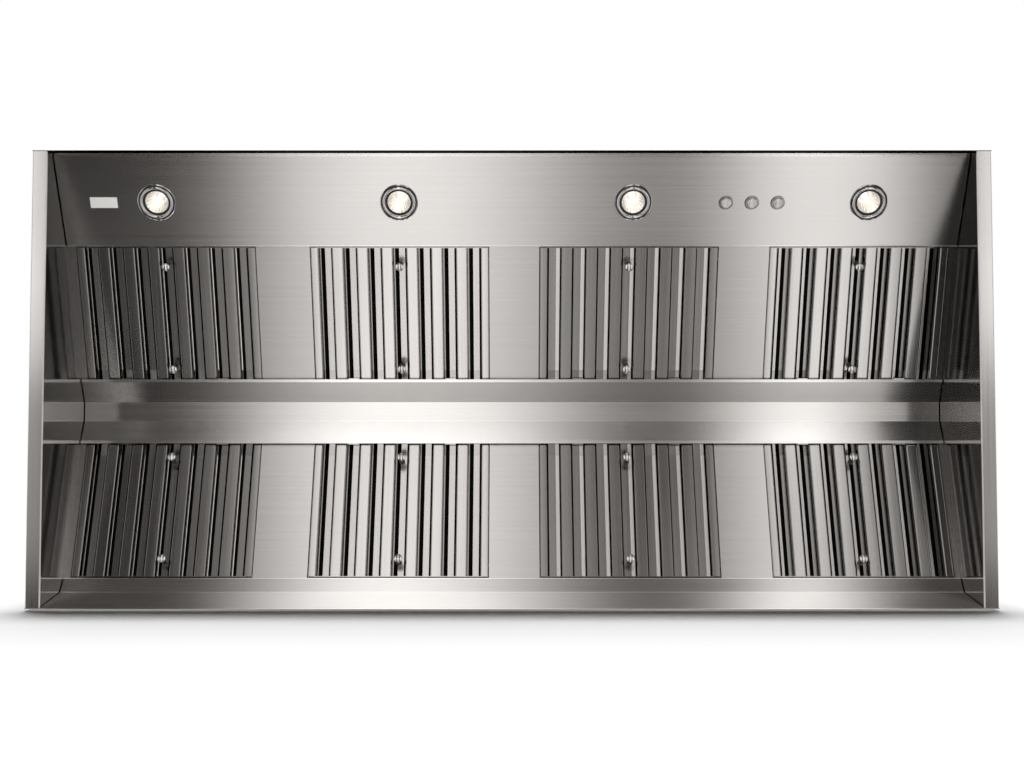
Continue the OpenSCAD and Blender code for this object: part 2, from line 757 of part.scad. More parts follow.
module wheel(x) stand() color("lightgray") translate([x, blower_y, blower_z]) rotate([0, 90, 0]) {
    inner_r = wheel_r - blade_depth;
    difference() {
        union() {
            translate([0, 0, -wheel_disc_t / 2]) disc(wheel_r, wheel_disc_t);
            translate([0, 0, -hub_len / 2]) disc(hub_r, hub_len);
            for (z = [-wheel_w / 2, wheel_w / 2 - wheel_ring_t])
                translate([0, 0, z]) tube(wheel_r, inner_r, wheel_ring_t);
            for (k = [0 : blade_count - 1]) rotate([0, 0, k * 360 / blade_count])
                translate([inner_r, 0, -wheel_w / 2]) rotate([0, 0, blade_tilt])
                    translate([blade_t, 0, 0]) cube([blade_depth - 2 * blade_t, blade_t, wheel_w]);
        }
        translate([0, 0, -hub_len]) disc(shaft_r + running_gap, 2 * hub_len);
    }
    inner = -wheel_disc_t / 2 - hub_len / 2 - motor_gap;
    translate([0, 0, inner - motor_bearing + seat_gap])
        disc(shaft_r, hub_len / 2 - inner + motor_bearing - seat_gap);
}

// Ducts
module at_collar(x) {
    translate([x, collar_y, hood_h]) children();
}

module collar(x) stand() color(steel) at_collar(x) {
    difference() {
        union() {
            disc(collar_r, collar_h);
            disc(collar_r + collar_flange, sheet);
        }
        translate([0, 0, -overrun]) disc(collar_r - collar_wall, collar_h + 2 * overrun);
        translate([0, 0, rod_z]) rotate([90, 0, 0]) translate([0, 0, -2 * collar_r])
            disc(rod_r + running_gap, 4 * collar_r);
    }
}

// Half a disc of sheet with its own knuckle; the outer flap carries the rod, and the inner one turns on it
module flap(x, side) stand() color("gainsboro") at_collar(x) translate([0, 0, rod_z]) {
    r = collar_r - collar_wall - flap_gap;
    knuckle = rod_r + running_gap + knuckle_wall;
    start = knuckle + knuckle_gap;
    half = r - 2 * flap_gap;
    carries_rod = x * side > 0;
    difference() {
        union() {
            intersection() {
                translate([0, 0, -flap_t / 2]) disc(r, flap_t);
                translate([side > 0 ? start : -start - r, -r, -flap_t]) cube([r, 2 * r, 2 * flap_t]);
            }
            translate([side > 0 ? 0 : -start - flap_gap, side > 0 ? knuckle_split : -half, -flap_t / 2])
                cube([start + flap_gap, half - knuckle_split, flap_t]);
            translate([0, side > 0 ? half : -knuckle_split, 0]) rotate([90, 0, 0])
                disc(knuckle, half - knuckle_split);
        }
        if (!carries_rod) translate([0, 2 * r, 0]) rotate([90, 0, 0]) disc(rod_r + running_gap, 4 * r);
    }
    if (carries_rod) translate([0, collar_r, 0]) rotate([90, 0, 0]) disc(rod_r, 2 * collar_r);
}

front_skin();
rear_skin();
left_side();
right_side();
top_plate();
light_panel();
centre_channel();
rear_trough();
front_blanks();
rear_blanks();
name_plate();
lamp_bezels();
lamp_lenses();
lamp_bulbs();
lamp_cans();
switch_bodies();
button(0);  // fan_button
button(1);  // speed_button
button(2);  // light_button
junction_box();
junction_cover();
wiring_harness();
fasteners();
filter_catches();
scroll(-blower_x);  // left_scroll
motor(-blower_x);  // left_motor
wheel(-blower_x);  // left_wheel
collar(-blower_x);  // left_collar
flap(-blower_x, -1);  // left_flap_outer
flap(-blower_x, 1);  // left_flap_inner
scroll(blower_x);  // right_scroll
motor(blower_x);  // right_motor
wheel(blower_x);  // right_wheel
collar(blower_x);  // right_collar
flap(blower_x, -1);  // right_flap_inner
flap(blower_x, 1);  // right_flap_outer
for (b = [0, 1], i = [0 : 3]) {
    name = str(b == 0 ? "front" : "rear", "_filter_", i + 1);
    translate([filter_x[i], 0, 0]) filter_frame(b);
    translate([filter_x[i], 0, 0]) filter_baffles(b);
    translate([filter_x[i], 0, 0]) filter_knobs(b);
}
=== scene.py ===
import math

import bmesh
import bpy
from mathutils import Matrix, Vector


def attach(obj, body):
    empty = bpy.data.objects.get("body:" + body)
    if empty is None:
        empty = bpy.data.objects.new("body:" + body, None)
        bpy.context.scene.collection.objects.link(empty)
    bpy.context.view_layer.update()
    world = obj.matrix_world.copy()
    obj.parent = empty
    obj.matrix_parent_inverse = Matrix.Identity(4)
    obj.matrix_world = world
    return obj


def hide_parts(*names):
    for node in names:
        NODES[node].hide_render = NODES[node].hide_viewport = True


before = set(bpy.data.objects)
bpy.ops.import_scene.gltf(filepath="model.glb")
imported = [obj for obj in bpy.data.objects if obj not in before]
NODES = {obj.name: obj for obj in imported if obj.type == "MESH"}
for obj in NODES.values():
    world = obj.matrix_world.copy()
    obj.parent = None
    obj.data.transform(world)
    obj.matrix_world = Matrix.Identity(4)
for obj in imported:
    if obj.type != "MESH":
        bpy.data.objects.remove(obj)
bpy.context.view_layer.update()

# Sizes in mm, as in the part's source. The hood is described as it hangs: x to the right, y from the front
# skin to the rear skin, z up from the mouth. A pair of values is for the front and the rear bank of filters.
HOOD_W, HOOD_D, HOOD_H, COLLAR_H, SHEET = 1524.0, 724.0, 457.0, 60.0, 1.2
SIDE_FLANGE, TOP_FLANGE, SIDE_WALL_H = 24.0, 20.0, 240.0
PANEL_Z, PANEL_RUN, PANEL_RISE, PANEL_FLANGE, PANEL_ROW = 25.0, 137.8, 78.5, 25.0, 81.3
FILTER_W, FILTER_T, FILTER_SHEET, BANK_ANGLE = 298.0, 24.0, 1.0, math.radians(20)
FRONT_WEB, EDGE_STRIP, REAR_WEB, TAILS, GAPS = 18.5, 13.0, 33.0, (9.0, 5.0), 7
LEG, REAR_DEPTH, RAIL_FLANGE, HOOK_W, HOOK_WALL = 9.0, 16.0, 10.0, 18.0, 2.0
KNOB_R, KNOB_STEM_R, KNOB_HEAD, KNOB_OUT, KNOB_INSET, KNOB_SHIFT = 7.0, 3.0, 5.0, 16.0, 31.0, (0.0, 3.0)
LIP_Z, CHANNEL_W, CHANNEL_RISE, CHANNEL_RUN, BEAD_R = 195.5, 104.6, 21.0, 36.5, 2.5
TROUGH_DEPTH, TROUGH_LIP_Z, TROUGH_FOLD_DEPTH, TROUGH_FOLD_Z = 38.2, 114.0, 15.8, 97.0
SWING_GAPS, SEAT, RUNNING, SEAM = (3.0, 1.2), 0.3, 0.05, 1.4
LEFT_END, RIGHT_END, BLANK_SHARES = 11.0, 9.0, (0.3485, 0.3239)
LIGHT_SHIFT, BEZEL_R, LENS_R, GLASS_Q, GLASS_T = (-2.0, 3.5, 2.5, 2.5), 31.0, 21.5, 2.0, 2.5
BULB_DEPTH, BULB_NECK_R, BULB_BASE = 32.0, 9.0, 12.0
BUTTON_SHIFT, BUTTON_PITCH, BUTTON_R, BUTTON_PROUD, BUTTON_SKIRT = 188.0, 42.3, 8.6, 4.5, 20.0
RING_R = 11.0  # of the switch body round each button

BANK_NAMES, BANK_SIGNS = ("front", "rear"), (-1, 1)

# Sizes in mm of what only the scene has
KNOB_DOME, CAPSULE_R = 3.2, 4.0
BEND, CHANNEL_BEND, SIDE_BEND, RAIL_BEND, BAFFLE_BEND = 1.8, 2.5, 1.0, 0.8, 0.9  # radii inside the bends
FOLD_ZONE = 2.0  # a face this near to a fold is part of its bend
LIP_END = 22.0  # length of the end of each rear baffle over the lip, which has materials of its own
SHADOW_RING_SHIFT = (-1.1, 0.5)

TOTAL = HOOD_H + COLLAR_H
INNER = HOOD_W - 2 * SIDE_FLANGE
PLATE_Z = HOOD_H - SHEET
FILTER_N = BEAD_R + 3.5 * FILTER_SHEET
FILTER_TOP = FILTER_N + FILTER_T
PANEL_ANGLE = math.atan2(PANEL_RISE, PANEL_RUN)
EDGE = ((SHEET + PANEL_RUN, PANEL_Z + PANEL_RISE), (HOOD_D - SHEET - TROUGH_DEPTH, TROUGH_LIP_Z))
DROP = tuple(LIP_Z - e[1] for e in EDGE)
COS_BANK, SIN_BANK = math.cos(BANK_ANGLE), math.sin(BANK_ANGLE)


def bank_arc(b, length):
    return math.hypot(length - TAILS[b], FILTER_TOP) + SWING_GAPS[b]


def bank_run(b, length):
    return math.sqrt(bank_arc(b, length) ** 2 - DROP[b] ** 2)


# Length of a filter at which the two banks and the channel fill the depth
ROOM = EDGE[1][0] - EDGE[0][0] - CHANNEL_W
FILTER_LEN = ROOM / 2
for step in range(12):
    FILTER_LEN += (ROOM - bank_run(0, FILTER_LEN) - bank_run(1, FILTER_LEN)) / 2
ARC = (bank_arc(0, FILTER_LEN), bank_arc(1, FILTER_LEN))
LIP_Y = (EDGE[0][0] + bank_run(0, FILTER_LEN), EDGE[1][0] - bank_run(1, FILTER_LEN))
EDGE_H = tuple(FILTER_N - SEAT - ARC[b] * math.sin(BANK_ANGLE - math.asin(DROP[b] / ARC[b])) for b in (0, 1))
BLANK_ROOM = INNER - LEFT_END - RIGHT_END - 4 * FILTER_W
F1 = -INNER / 2 + LEFT_END + FILTER_W / 2
F2 = F1 + FILTER_W + BLANK_SHARES[0] * BLANK_ROOM
FILTER_X = (F1, F2, F2 + FILTER_W + BLANK_SHARES[1] * BLANK_ROOM, INNER / 2 - RIGHT_END - FILTER_W / 2)
PITCH = (FILTER_W - 2 * EDGE_STRIP + FRONT_WEB) / GAPS
LIGHT_X = tuple(x + shift for x, shift in zip(FILTER_X, LIGHT_SHIFT))
BUTTON_X = {name: FILTER_X[3] - BUTTON_SHIFT + k * BUTTON_PITCH
            for k, name in ((-1, "fan_button"), (0, "speed_button"), (1, "light_button"))}


# Places -----------------------------------------------------------------------------------------------------
def row(x, y, z):
    """Turns a point of the hanging hood in mm into one of the standing row in metres."""
    return Vector((x, z - TOTAL / 2, HOOD_D - y)) / 1000


def along_x(u, v, w):
    return row(w, u, v)


def bank(b, x0):
    """Frame of a filter bank: x across, s down the slope from the lip, n square to the slope."""
    way = BANK_SIGNS[b]

    def place(x, s, n):
        y = LIP_Y[b] + way * (s * COS_BANK + n * SIN_BANK)
        return row(x0 + way * x, y, LIP_Z - s * SIN_BANK + n * COS_BANK)
    return place


def on_panel(x0, du=0.0, dv=0.0):
    """Frame of a light or button: u across, v up the panel from the row of lights, h into the hood."""
    c, sn = math.cos(PANEL_ANGLE), math.sin(PANEL_ANGLE)

    def place(u, v, h):
        p = PANEL_ROW + v + dv
        return row(x0 + (u + du), SHEET + p * c - h * sn, PANEL_Z + p * sn + h * c)
    return place


# Mesh building ----------------------------------------------------------------------------------------------
def circle(r, steps, u0=0.0, v0=0.0):
    turns = [2 * math.pi * k / steps for k in range(steps)]
    return [(u0 + r * math.cos(w), v0 + r * math.sin(w)) for w in turns]


def rounded(path, radii, step=math.radians(15)):
    """A polyline with each inner corner turned into an arc of its radius."""
    out = [Vector(path[0])]
    for i in range(1, len(path) - 1):
        p, a, b = Vector(path[i]), Vector(path[i - 1]), Vector(path[i + 1])
        d1, d2 = (p - a).normalized(), (b - p).normalized()
        turn = math.atan2(d1.x * d2.y - d1.y * d2.x, d1.dot(d2))
        r = radii[i - 1]
        start = p - d1 * (r * math.tan(abs(turn) / 2))
        left = Vector((-d1.y, d1.x)) * (1 if turn > 0 else -1)
        centre = start + left * r
        v = start - centre
        n = max(2, math.ceil(abs(turn) / step))
        for k in range(n + 1):
            c, sn = math.cos(turn * k / n), math.sin(turn * k / n)
            out.append(centre + Vector((v.x * c - v.y * sn, v.x * sn + v.y * c)))
    out.append(Vector(path[-1]))
    return out


def folded(path, t, r):
    """Outline of a folded sheet: the path is one face, the other lies t to its left, and bends are round."""
    pts = [Vector(p) for p in path]

    def left(a, b):
        d = (b - a).normalized()
        return Vector((-d.y, d.x))
    other, near_radii, far_radii = [], [], []
    for i, p in enumerate(pts):
        n1 = left(pts[max(i - 1, 0)], pts[max(i, 1)])
        n2 = left(pts[min(i, len(pts) - 2)], pts[min(i + 1, len(pts) - 1)])
        other.append(p + (n1 + n2) * t / (1 + n1.dot(n2)))
        if 0 < i < len(pts) - 1:
            turns_left = n1.x * n2.y - n1.y * n2.x > 0
            near_radii.append(r + t if turns_left else r)
            far_radii.append(r if turns_left else r + t)
    return rounded(pts, near_radii) + list(reversed(rounded(other, far_radii)))


def sides_of(outline):
    """The outline's sides as pairs of points."""
    return list(zip(outline, outline[1:] + outline[:1]))


def split(outline, cuts):
    """Adds a point to an outline wherever it crosses one of the cuts, values of u."""
    out = []
    for p, q in sides_of(outline):
        out.append(p)
        inside = [c for c in cuts if min(p[0], q[0]) < c < max(p[0], q[0])]
        for c in sorted(inside, reverse=q[0] < p[0]):
            out.append(p.lerp(q, (c - p[0]) / (q[0] - p[0])))
    return out


def prism(bm, outline, place, a, b):
    """Adds an outline extruded from a to b, where place turns (u, v, w) into a point. Returns its sides."""
    ends = [[bm.verts.new(place(p[0], p[1], w)) for p in outline] for w in (a, b)]
    n = len(outline)
    sides = []
    for i in range(n):
        j = (i + 1) % n
        sides.append(bm.faces.new((ends[0][i], ends[0][j], ends[1][j], ends[1][i])))
    bm.faces.new(ends[0])
    bm.faces.new(list(reversed(ends[1])))
    return sides


def lathe(bm, profile, place, steps=48):
    """Adds a turned form: profile is (radius, height) pairs, and place turns (u, v, height) into a point.
    Returns its faces."""
    rings = []
    for r, h in profile:
        points = circle(r, steps) if r > 0 else [(0, 0)]
        rings.append([bm.verts.new(place(u, v, h)) for u, v in points])
    faces = []
    for a, b in zip(rings, rings[1:]):
        for k in range(steps):
            j = (k + 1) % steps
            corners = list(dict.fromkeys((a[k % len(a)], a[j % len(a)], b[j % len(b)], b[k % len(b)])))
            if len(corners) > 2:
                faces.append(bm.faces.new(corners))
    return faces


def piece(name, bm, materials, body, nodes, sharp=35):
    """Makes an object of a mesh. It rides on the body and stands for the nodes. Edges of at least sharp
    degrees stay sharp, and 0 leaves every face flat."""
    bmesh.ops.recalc_face_normals(bm, faces=bm.faces)
    mesh = bpy.data.meshes.new(name)
    bm.to_mesh(mesh)
    bm.free()
    for material in materials:
        mesh.materials.append(material)
    o = bpy.data.objects.new(name, mesh)
    bpy.context.scene.collection.objects.link(o)
    if sharp:
        mesh.shade_smooth()
        mesh.set_sharp_from_angle(angle=math.radians(sharp))
        m = o.modifiers.new("normals", "WEIGHTED_NORMAL")
        m.keep_sharp, m.weight = True, 80
    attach(o, body)
    if nodes:
        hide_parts(*nodes)
    return o


# Nodes ------------------------------------------------------------------------------------------------------
def link(nt, a, b):
    nt.links.new(a, b)


def math_node(nt, op, a, b=None):
    """One math node. Each of a and b is a number or a socket."""
    m = nt.nodes.new("ShaderNodeMath")
    m.operation = op
    for i, v in enumerate((a, b)):
        if isinstance(v, (int, float)):
            m.inputs[i].default_value = v
        elif v is not None:
            link(nt, v, m.inputs[i])
    return m.outputs[0]


def add(nt, a, b):
    return math_node(nt, "ADD", a, b)


def minus(nt, a, b):
    return math_node(nt, "SUBTRACT", a, b)


def times(nt, a, b):
    return math_node(nt, "MULTIPLY", a, b)


def shared(nt, a, share, b):
    """A share of a and the rest of b."""
    return add(nt, times(nt, a, share), times(nt, b, 1 - share))


def ranged(nt, value, lo, hi, a=0.3, b=0.7, kind="LINEAR"):
    """Turns a value between a and b into one between lo and hi."""
    r = nt.nodes.new("ShaderNodeMapRange")
    r.interpolation_type = kind
    r.inputs["From Min"].default_value, r.inputs["From Max"].default_value = a, b
    r.inputs["To Min"].default_value, r.inputs["To Max"].default_value = lo, hi
    link(nt, value, r.inputs["Value"])
    return r.outputs["Result"]


def smooth(nt, v, a, b):
    """0 below a and 1 above b, with a soft step between them."""
    return ranged(nt, v, 0.0, 1.0, a, b, "SMOOTHSTEP")


def band(nt, v, a, b, c, d, strength):
    """The strength between b and c, and 0 below a and above d."""
    return times(nt, times(nt, smooth(nt, v, a, b), minus(nt, 1.0, smooth(nt, v, c, d))), strength)


def mixed(nt, fac, c1, c2):
    m = nt.nodes.new("ShaderNodeMix")
    m.data_type = "RGBA"
    m.inputs["A"].default_value, m.inputs["B"].default_value = (*c1, 1), (*c2, 1)
    link(nt, fac, m.inputs["Factor"])
    return m.outputs["Result"]


def varied(nt, fac, tint, share):
    """A tint that varies by a share of itself, darker where the factor is low."""
    return mixed(nt, fac, [c * (1 - share) for c in tint], [min(1.0, c * (1 + share)) for c in tint])


def mapped_noise(nt, scale, detail=3.0, rough=0.55, tilt=0.0):
    """Noise on the object's own coordinates, turned by tilt about x and then scaled."""
    tc = nt.nodes.new("ShaderNodeTexCoord")
    turned, mp = nt.nodes.new("ShaderNodeMapping"), nt.nodes.new("ShaderNodeMapping")
    turned.inputs["Rotation"].default_value = (tilt, 0, 0)
    mp.inputs["Scale"].default_value = scale
    nz = nt.nodes.new("ShaderNodeTexNoise")
    nz.inputs["Scale"].default_value = 1.0
    nz.inputs["Detail"].default_value = detail
    nz.inputs["Roughness"].default_value = rough
    link(nt, tc.outputs["Object"], turned.inputs["Vector"])
    link(nt, turned.outputs["Vector"], mp.inputs["Vector"])
    link(nt, mp.outputs["Vector"], nz.inputs["Vector"])
    return nz.outputs["Fac"]


def direction(nt, vector, kind):
    """A direction of the object, turned with it into the world."""
    way = nt.nodes.new("ShaderNodeCombineXYZ")
    for i, axis in enumerate("XYZ"):
        way.inputs[axis].default_value = vector[i]
    turn = nt.nodes.new("ShaderNodeVectorTransform")
    turn.vector_type, turn.convert_from, turn.convert_to = kind, "OBJECT", "WORLD"
    link(nt, way.outputs[0], turn.inputs[0])
    return turn.outputs[0]


def shaded(nt, p, colour, axis, start, end, share_start, share_end):
    """Paints shade: scales a colour and the specular tint along an axis, from one share at start to another
    at end.
    """
    place, axes = nt.nodes.new("ShaderNodeTexCoord"), nt.nodes.new("ShaderNodeSeparateXYZ")
    link(nt, place.outputs["Object"], axes.inputs[0])
    share = ranged(nt, axes.outputs[axis], share_start, share_end, start, end)
    link(nt, share, p.inputs["Specular Tint"])
    scaled = nt.nodes.new("ShaderNodeVectorMath")
    scaled.operation = "SCALE"
    link(nt, colour, scaled.inputs[0])
    link(nt, share, scaled.inputs["Scale"])
    return scaled.outputs[0]


def relief(nt, p, height, strength, distance=0.0003, normal=None):
    b = nt.nodes.new("ShaderNodeBump")
    b.inputs["Strength"].default_value = strength
    b.inputs["Distance"].default_value = distance
    link(nt, height, b.inputs["Height"])
    if normal is not None:
        link(nt, normal, b.inputs["Normal"])
    link(nt, b.outputs["Normal"], p.inputs["Normal"])


# Materials --------------------------------------------------------------------------------------------------
ACROSS, UPRIGHT = (1, 0, 0), (0, 0, 1)  # directions of the grain
GRAIN_ALONG, GRAIN_ACROSS = 3.0, 900.0  # scales of the noise that makes the brush lines
LAMP_LIGHT = (1.0, 0.97, 0.93, 1)


def nodes_of(name):
    m = bpy.data.materials.new(name)
    m.use_nodes = True
    return m, m.node_tree, m.node_tree.nodes["Principled BSDF"]


def brushed(name, tint, rough, grain=ACROSS, stretch=0.97, streak=0.04, bump=0.03, normal=None, shade=None):
    """Brushed stainless: fine streaks along the grain in colour, roughness and relief, and soft cloudy wear.
    normal leans the surface that way, and shade holds the arguments of shaded() from axis on."""
    m, nt, p = nodes_of(name)
    g = Vector(grain).normalized()
    tilt = math.atan2(g.y, g.z) if g.z else 0.0
    if g.x > 0.5:
        scale = (GRAIN_ALONG, GRAIN_ACROSS, GRAIN_ACROSS)
    else:
        scale = (GRAIN_ACROSS, GRAIN_ACROSS, GRAIN_ALONG)
    fine = mapped_noise(nt, scale, 4.0, 0.6, tilt)
    coarse = mapped_noise(nt, [s * 0.22 for s in scale], 2.0, 0.5, tilt)
    cloud = mapped_noise(nt, (5.0, 5.0, 5.0), 3.0, 0.5)
    streaks = shared(nt, fine, 0.6, coarse)
    colour = varied(nt, ranged(nt, streaks, 0, 1), tint, streak)
    if shade:
        colour = shaded(nt, p, colour, *shade)
    link(nt, colour, p.inputs["Base Color"])
    streaky_rough = ranged(nt, streaks, rough - 0.02, rough + 0.02)
    link(nt, add(nt, streaky_rough, ranged(nt, cloud, -0.015, 0.015)), p.inputs["Roughness"])
    p.inputs["Metallic"].default_value = 1.0
    p.inputs["Anisotropic"].default_value = stretch
    p.inputs["Anisotropic Rotation"].default_value = 0.25
    link(nt, direction(nt, g, "VECTOR"), p.inputs["Tangent"])
    relief(nt, p, streaks, bump, 0.0002, direction(nt, normal, "NORMAL") if normal else None)
    return m


def plain_metal(name, tint, rough, size=60.0, vary=0.05, metallic=1.0, bump=0.03, coat=0.0):
    """Metal or paint without a grain: size is the scale of its fine noise."""
    m, nt, p = nodes_of(name)
    fine = mapped_noise(nt, (size, size, size), 3.0, 0.6)
    coarse = mapped_noise(nt, (size / 8, size / 8, size / 8), 2.0, 0.5)
    both = shared(nt, fine, 0.5, coarse)
    link(nt, varied(nt, ranged(nt, both, 0, 1), tint, vary), p.inputs["Base Color"])
    link(nt, ranged(nt, both, max(rough - 0.04, 0.02), rough + 0.05), p.inputs["Roughness"])
    p.inputs["Metallic"].default_value = metallic
    p.inputs["Coat Weight"].default_value = coat
    relief(nt, p, fine, bump)
    return m


def galvanised(name):
    """Galvanised sheet: soft grey spangle."""
    m, nt, p = nodes_of(name)
    tc = nt.nodes.new("ShaderNodeTexCoord")
    vo = nt.nodes.new("ShaderNodeTexVoronoi")
    vo.inputs["Scale"].default_value = 70.0
    link(nt, tc.outputs["Object"], vo.inputs["Vector"])
    sep = nt.nodes.new("ShaderNodeSeparateColor")
    link(nt, vo.outputs["Color"], sep.inputs[0])
    spangle = shared(nt, sep.outputs[0], 0.55, mapped_noise(nt, (9.0, 9.0, 9.0), 3.0, 0.6))
    link(nt, mixed(nt, spangle, (0.37, 0.374, 0.382), (0.55, 0.554, 0.56)), p.inputs["Base Color"])
    link(nt, ranged(nt, spangle, 0.50, 0.64, 0.2, 0.8), p.inputs["Roughness"])
    p.inputs["Metallic"].default_value = 0.9
    relief(nt, p, spangle, 0.04)
    return m


def glass():
    m, nt, p = nodes_of("lamp_glass")
    n = mapped_noise(nt, (350.0, 350.0, 350.0), 2.0, 0.5)
    link(nt, mixed(nt, n, (0.97, 0.96, 0.93), (1.0, 1.0, 0.98)), p.inputs["Base Color"])
    link(nt, ranged(nt, n, 0.03, 0.10), p.inputs["Roughness"])
    p.inputs["Transmission Weight"].default_value = 1.0
    p.inputs["IOR"].default_value = 1.12
    relief(nt, p, n, 0.25, 0.0004)
    return m


def lamp(name, size, dark, light, limits, rough, metallic, strength):
    """A part of a lamp that glows with a strength. Its colour goes from dark to light between two limits of
    its noise, and rough is the lowest and the highest roughness."""
    m, nt, p = nodes_of(name)
    n = mapped_noise(nt, (size, size, size), 2.0, 0.5)
    link(nt, mixed(nt, ranged(nt, n, 0.0, 1.0, *limits), dark, light), p.inputs["Base Color"])
    link(nt, ranged(nt, n, *rough), p.inputs["Roughness"])
    p.inputs["Metallic"].default_value = metallic
    p.inputs["Emission Color"].default_value = LAMP_LIGHT
    p.inputs["Emission Strength"].default_value = strength
    return m


SHELL = brushed("shell_brushed_across", (0.72, 0.702, 0.688), 0.22)
CHANNEL = brushed("channel_brushed_across", (0.80, 0.78, 0.765), 0.20)
# Painted shade: the front skin's inner face and edge are dark near the mouth, so the line under the rim is as
# thin as in the photo
HEM_PAINTED_SHADE = brushed("front_skin_inner_painted_shade", (0.9, 0.88, 0.865), 0.12, stretch=0.9,
              shade=("Y", -0.2435, -0.2415, 0.09, 1.0))
TROUGH = brushed("trough_brushed_across", (0.86, 0.84, 0.825), 0.17)
# Painted highlight: a lighter, smoother copy of the steel, on the channel's rear face and the rear skin's rim
PAINTED_HIGHLIGHT = brushed("faces_painted_highlight_across", (0.97, 0.95, 0.935), 0.17)
SIDE = brushed("shell_brushed_upright", (0.76, 0.742, 0.728), 0.11, UPRIGHT, 0.3, 0.08)
# Painted shade: the inner side walls darken from the rear skin towards the front skin, to half their tone and
# specular tint at 0.45 m
SIDE_IN_PAINTED_SHADE = brushed("side_wall_painted_shade", (0.90, 0.88, 0.86), 0.10, UPRIGHT, 0.2, 0.05, 0.004,
                  shade=("Z", 0.0, 0.45, 1.0, 0.5))
# Painted shade: the channel's front face is a darker copy of the channel's steel
FACE_UP_PAINTED_SHADE = brushed("channel_front_painted_shade", (0.54, 0.525, 0.512), 0.20, bump=0.012)
BLANK = brushed("blanks_brushed_across", (0.63, 0.612, 0.60), 0.22)
# The photo shows the room directly in the folds and in the trough's lower face, so these lean to the front
# Painted highlight: the folds also carry a lighter copy of the steel
FOLD_PAINTED_HIGHLIGHT = brushed("fold_edge_painted_highlight", (0.92, 0.90, 0.885), 0.20, normal=(0, -0.995, 0.10))
LOW = brushed("trough_foot_brushed", (0.80, 0.782, 0.768), 0.18, normal=(0, -0.863, 0.504))
PLATE = brushed("plate_satin", (0.80, 0.79, 0.78), 0.24, ACROSS, 0.5, 0.05, 0.02,
                normal=(0.08, -0.869, -0.495))

# Steel of the filters: the four of a bank differ in tone, as painted light and shade. Behind the gaps the
# rear baffles carry strips of painted light, half shade and shadow: kind, tone, roughness, and for some a
# normal, whose z turns with the bank
GRAINS = [(0, sign * SIN_BANK, COS_BANK) for sign in BANK_SIGNS]
FILTER_PAINTED_TONES = (0.47, 0.70, 0.41, 0.64)
STRIP_KINDS = (("painted_light", 0.86, 0.24, None), ("painted_half_shade", 0.36, 0.16, None), ("painted_shadow", 0.004, 0.30, None),
               ("angled", 0.90, 0.16, (0.075, -0.94, 0.34)),
               ("painted_light_end", 0.62, 0.2, (0, -0.995, -0.1)), ("painted_half_shade_end", 0.26, 0.2, (0, -0.995, -0.1)))
PAINTED_LIGHT, PAINTED_HALF_SHADE, PAINTED_SHADOW, ANGLED, PAINTED_LIGHT_END, PAINTED_HALF_SHADE_END = range(6)
BANK_STEEL = [[brushed(f"filter_painted_tone_{n}_{i + 1}", (v, v * 0.975, v * 0.955), 0.13, g, 0.2, 0.09, 0.012)
               for i, v in enumerate(FILTER_PAINTED_TONES)]
              for n, g in zip(BANK_NAMES, GRAINS)]
STRIPS = [[brushed(f"baffle_{kind}_{n}", (v, v * 0.97, v * 0.95), rough, g, 0.2, 0.10,
                   normal=lean and (lean[0], lean[1], sign * lean[2]))
           for kind, v, rough, lean in STRIP_KINDS]
          for n, g, sign in zip(BANK_NAMES, GRAINS, BANK_SIGNS)]

KNOB = plain_metal("knob_turned", (0.97, 0.95, 0.93), 0.19, 400.0)
STEM = plain_metal("knob_stem", (0.16, 0.155, 0.15), 0.35, 400.0)
BUTTON = plain_metal("button_satin", (0.80, 0.785, 0.77), 0.22, 600.0)
RING = plain_metal("switch_ring", (0.34, 0.33, 0.325), 0.14, 300.0)
CHROME = plain_metal("chrome_trim", (0.82, 0.82, 0.82), 0.07, 300.0, 0.02, bump=0.0)
# Black rubber of the lamp seals, and of black rings that paint shadow
RUBBER_AND_PAINTED_SHADOW = plain_metal("lamp_seal_and_painted_shadow", (0.02, 0.02, 0.02), 0.4, 300.0, 0.2, metallic=0.0)
ZINC = plain_metal("zinc_screws", (0.62, 0.62, 0.63), 0.3, 500.0)
CAN = plain_metal("lamp_can_grey", (0.30, 0.30, 0.31), 0.45, 90.0, 0.08, metallic=0.3)
MOTOR = plain_metal("motor_black", (0.045, 0.045, 0.05), 0.42, 250.0, 0.2, metallic=0.0, bump=0.06, coat=0.2)
CABLE = plain_metal("cable_sleeve", (0.05, 0.05, 0.05), 0.6, 700.0, 0.2, metallic=0.0, bump=0.1)
GALV = galvanised("galvanised_spangle")
GLASS = glass()
# Painted light: the reflector glows a little, for the bulb's light on it
REFLECTOR_PAINTED_GLOW = lamp("lamp_reflector", 75.0, (0.76, 0.71, 0.66), (0.97, 0.965, 0.955), (0.3, 0.7), (0.12, 0.22),
                 0.95, 0.10)
GLOW = lamp("lamp_capsule", 500.0, (0.95, 0.92, 0.88), (1.0, 0.98, 0.95), (0.0, 1.0), (0.3, 0.4), 0.0, 0.75)


# Camera -----------------------------------------------------------------------------------------------------
# The photograph's, solved from the outline
cam_data = bpy.data.cameras.new("camera")
cam_data.lens, cam_data.sensor_width = 50.0, 36.0
cam = bpy.data.objects.new("camera", cam_data)
bpy.context.scene.collection.objects.link(cam)
cam.location = (0.0, -2.496, 0.234)
cam.rotation_euler = (math.radians(90 + 3.02), 0, 0)
bpy.context.scene.camera = cam
bpy.context.scene.view_settings.view_transform = "Standard"


# Shell ------------------------------------------------------------------------------------------------------
def near(y, *folds):
    return any(abs(y - fold) < FOLD_ZONE for fold in folds)


